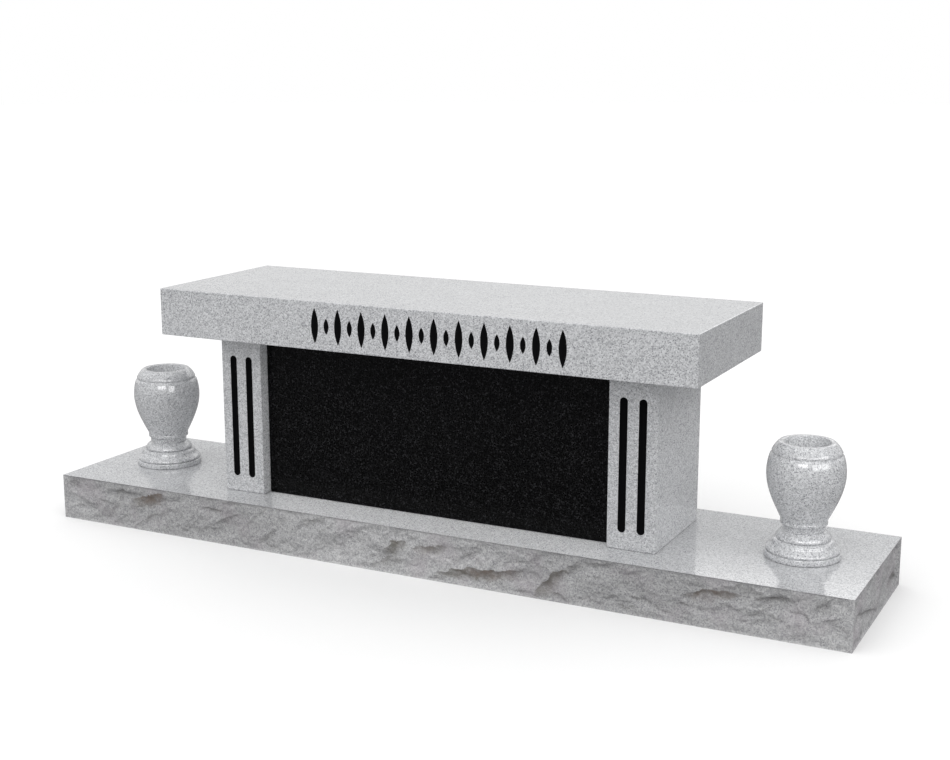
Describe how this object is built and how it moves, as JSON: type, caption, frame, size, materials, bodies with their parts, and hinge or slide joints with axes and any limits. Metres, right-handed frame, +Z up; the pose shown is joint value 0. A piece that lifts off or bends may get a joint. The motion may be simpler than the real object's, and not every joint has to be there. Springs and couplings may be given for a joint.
{
  "type": "granite memorial bench with vases",
  "caption": "Grey granite memorial bench: seat slab on fluted pedestals and a black panel, on a long rock-pitched base with a turned vase at each end.",
  "frame": {"origin": "middle of the base slab's underside, on the ground", "axes": "+X along the bench to the right as seen from the front, +Y towards the back, +Z up"},
  "size_m": [1.8288, 0.4064, 0.5588],
  "materials": {
    "grey_granite": "polished fine-grained light grey granite",
    "pitched_granite": "rock-pitched sides and a polished top, light grey granite",
    "black_granite": "polished black granite with a fine pale grain"
  },
  "bodies": {
    "root": {"base_slab": "pitched_granite", "left_pedestal": "grey_granite", "right_pedestal": "grey_granite", "centre_panel": "black_granite", "seat_slab": "grey_granite", "left_vase": "grey_granite", "right_vase": "grey_granite"}
  },
  "joints": []
}
